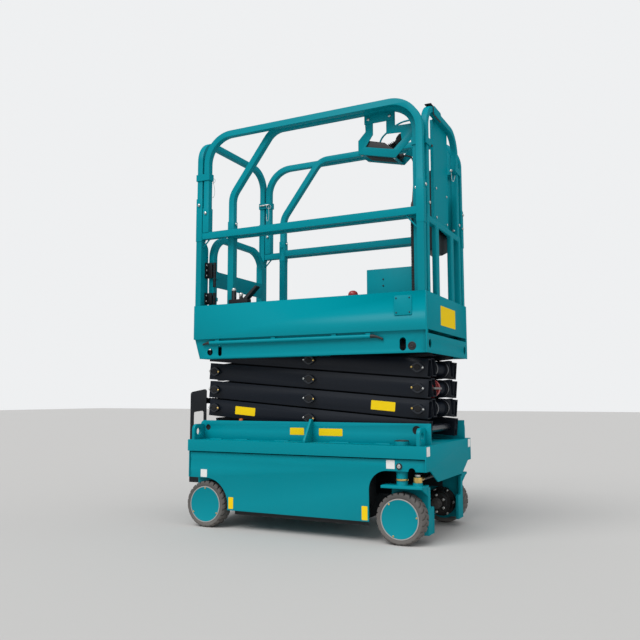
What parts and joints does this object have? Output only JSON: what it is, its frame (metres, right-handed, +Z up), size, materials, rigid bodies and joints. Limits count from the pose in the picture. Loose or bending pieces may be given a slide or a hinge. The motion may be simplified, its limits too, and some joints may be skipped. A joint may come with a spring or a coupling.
{
  "type": "scissor lift",
  "caption": "Compact self-propelled scissor lift, stowed: box chassis on solid wheels, stacked hollow arms, railed platform with a roll-out deck, rear gate and ladder.",
  "frame": {"origin": "on the ground, under the centre of the bounding box", "axes": "+X forward towards the steered end and the roll-out deck, +Y to the machine's left, +Z up"},
  "size_m": [1.406, 0.76, 2.092],
  "materials": {
    "teal": "satin teal enamel",
    "arm_blue": "satin dark blue-black enamel",
    "black": "satin black",
    "tyre": "solid grey rubber",
    "plastic": "moulded black",
    "red": "satin red",
    "steel": "plain"
  },
  "bodies": {
    "chassis": {"chassis_frame": "teal", "kingpin_bosses": "teal", "pothole_guards": "black", "ladder": "black", "battery_pack": "plastic", "hydraulic_unit": "plastic", "rear_axle": "steel", "base_shaft": "arm_blue"},
    "rear_wheel_left": {"rear_tyre_left": "tyre", "rear_hub_left": "teal"},
    "front_wheel_left": {"front_tyre_left": "tyre", "front_hub_left": "teal"},
    "knuckle_left": {"yoke_left": "teal", "drive_motor_left": "plastic"},
    "door_left": {"side_door_left": "teal"},
    "rear_wheel_right": {"rear_tyre_right": "tyre", "rear_hub_right": "teal"},
    "front_wheel_right": {"front_tyre_right": "tyre", "front_hub_right": "teal"},
    "knuckle_right": {"yoke_right": "teal", "drive_motor_right": "plastic"},
    "door_right": {"side_door_right": "teal"},
    "tie_rod": {"tie_rod": "steel"},
    "outer_1": {"outer_arms_1": "arm_blue"},
    "inner_1": {"inner_arms_1": "arm_blue"},
    "outer_2": {"outer_arms_2": "arm_blue"},
    "inner_2": {"inner_arms_2": "arm_blue", "red_ring": "red"},
    "outer_3": {"outer_arms_3": "arm_blue"},
    "inner_3": {"inner_arms_3": "arm_blue"},
    "outer_4": {"outer_arms_4": "arm_blue"},
    "inner_4": {"inner_arms_4": "arm_blue"},
    "platform": {"deck_frame": "teal", "side_rail_left": "teal", "side_rail_right": "teal", "rear_rail": "teal", "rear_rail_bands": "teal", "gate_hinges": "black", "gate_latch": "black", "foot_pedal": "plastic", "side_duct": "teal"},
    "gate": {"gate": "teal"},
    "extension": {"extension_floor": "teal", "extension_toe_board": "teal", "extension_rail_left": "teal", "extension_rail_right": "teal", "extension_front_rail": "teal", "front_rail_bands": "teal", "front_sheet": "teal", "manual_box": "plastic", "accessory_box": "plastic", "control_bracket": "teal", "control_box": "plastic", "joystick": "plastic", "cable_plug": "black", "control_cable": "black", "warning_dome": "red", "corrugated_conduit": "black"},
    "lift_barrel": {"lift_barrel": "black"},
    "lift_rod": {"lift_rod": "steel"}
  },
  "joints": [
    {"name": "lift", "type": "hinge", "parent": "chassis", "child": "outer_1", "pos_m": [0.627, 0, 0.5077], "axis": [0, 1, 0], "range_deg": [0, 55]},
    {"name": "inner_1_turn", "type": "hinge", "parent": "outer_1", "child": "inner_1", "pos_m": [0.05604, 0, 0.55605], "axis": [0, 1, 0], "range_deg": [-110, 0]},
    {"name": "outer_2_turn", "type": "hinge", "parent": "inner_1", "child": "outer_2", "pos_m": [0.627, 0, 0.60439], "axis": [0, 1, 0], "range_deg": [0, 110]},
    {"name": "inner_2_turn", "type": "hinge", "parent": "outer_2", "child": "inner_2", "pos_m": [0.05604, 0, 0.65274], "axis": [0, 1, 0], "range_deg": [-110, 0]},
    {"name": "outer_3_turn", "type": "hinge", "parent": "inner_2", "child": "outer_3", "pos_m": [0.627, 0, 0.70108], "axis": [0, 1, 0], "range_deg": [0, 110]},
    {"name": "inner_3_turn", "type": "hinge", "parent": "outer_3", "child": "inner_3", "pos_m": [0.05604, 0, 0.74943], "axis": [0, 1, 0], "range_deg": [-110, 0]},
    {"name": "outer_4_turn", "type": "hinge", "parent": "inner_3", "child": "outer_4", "pos_m": [0.627, 0, 0.79778], "axis": [0, 1, 0], "range_deg": [0, 110]},
    {"name": "inner_4_turn", "type": "hinge", "parent": "outer_4", "child": "inner_4", "pos_m": [0.05604, 0, 0.84612], "axis": [0, 1, 0], "range_deg": [-110, 0]},
    {"name": "cylinder_turn", "type": "hinge", "parent": "inner_1", "child": "lift_barrel", "pos_m": [0.55426, 0, 0.59823], "axis": [0, 1, 0], "range_deg": [0, 118]},
    {"name": "cylinder_stroke", "type": "slide", "parent": "lift_barrel", "child": "lift_rod", "axis": [-0.9902, 0, 0.1396], "range_m": [0, 0.447]},
    {"name": "platform_turn", "type": "hinge", "parent": "inner_4", "child": "platform", "pos_m": [0.627, 0, 0.89447], "axis": [0, 1, 0], "range_deg": [0, 55]},
    {"name": "extension_slide", "type": "slide", "parent": "platform", "child": "extension", "axis": [1, 0, 0], "range_m": [0, 0.9]},
    {"name": "gate_swing", "type": "hinge", "parent": "platform", "child": "gate", "pos_m": [-0.511, -0.284, 1.36], "axis": [0, 0, -1], "range_deg": [0, 78]},
    {"name": "rear_wheel_left_spin", "type": "hinge", "parent": "chassis", "child": "rear_wheel_left", "pos_m": [-0.486, 0.335, 0.115], "axis": [0, 1, 0], "continuous": true},
    {"name": "steer_left", "type": "hinge", "parent": "chassis", "child": "knuckle_left", "pos_m": [0.57, 0.331, 0.3], "axis": [0, 0, 1], "range_deg": [-45, 45]},
    {"name": "front_wheel_left_spin", "type": "hinge", "parent": "knuckle_left", "child": "front_wheel_left", "pos_m": [0.57, 0.335, 0.115], "axis": [0, 1, 0], "continuous": true},
    {"name": "door_left_swing", "type": "hinge", "parent": "chassis", "child": "door_left", "pos_m": [-0.582, 0.366, 0.23], "axis": [0, 0, 1], "range_deg": [0, 90]},
    {"name": "rear_wheel_right_spin", "type": "hinge", "parent": "chassis", "child": "rear_wheel_right", "pos_m": [-0.486, -0.335, 0.115], "axis": [0, 1, 0], "continuous": true},
    {"name": "steer_right", "type": "hinge", "parent": "chassis", "child": "knuckle_right", "pos_m": [0.57, -0.331, 0.3], "axis": [0, 0, 1], "range_deg": [-45, 45]},
    {"name": "front_wheel_right_spin", "type": "hinge", "parent": "knuckle_right", "child": "front_wheel_right", "pos_m": [0.57, -0.335, 0.115], "axis": [0, 1, 0], "continuous": true},
    {"name": "door_right_swing", "type": "hinge", "parent": "chassis", "child": "door_right", "pos_m": [-0.582, -0.366, 0.23], "axis": [0, 0, -1], "range_deg": [0, 90]},
    {"name": "tie_rod_turn", "type": "hinge", "parent": "knuckle_right", "child": "tie_rod", "pos_m": [0.644, -0.331, 0.288], "axis": [0, 0, 1], "range_deg": [-45, 45]}
  ],
  "couplings": [
    {"joint": "inner_1_turn", "follows": "lift", "ratio": -2},
    {"joint": "outer_2_turn", "follows": "lift", "ratio": 2},
    {"joint": "inner_2_turn", "follows": "lift", "ratio": -2},
    {"joint": "outer_3_turn", "follows": "lift", "ratio": 2},
    {"joint": "inner_3_turn", "follows": "lift", "ratio": -2},
    {"joint": "outer_4_turn", "follows": "lift", "ratio": 2},
    {"joint": "inner_4_turn", "follows": "lift", "ratio": -2},
    {"joint": "cylinder_turn", "follows": "lift", "ratio": 2.1407},
    {"joint": "cylinder_stroke", "follows": "lift", "m_per_rad": 0.46458},
    {"joint": "platform_turn", "follows": "lift", "ratio": 1},
    {"joint": "steer_left", "follows": "steer_right", "ratio": 1},
    {"joint": "tie_rod_turn", "follows": "steer_right", "ratio": -1}
  ]
}
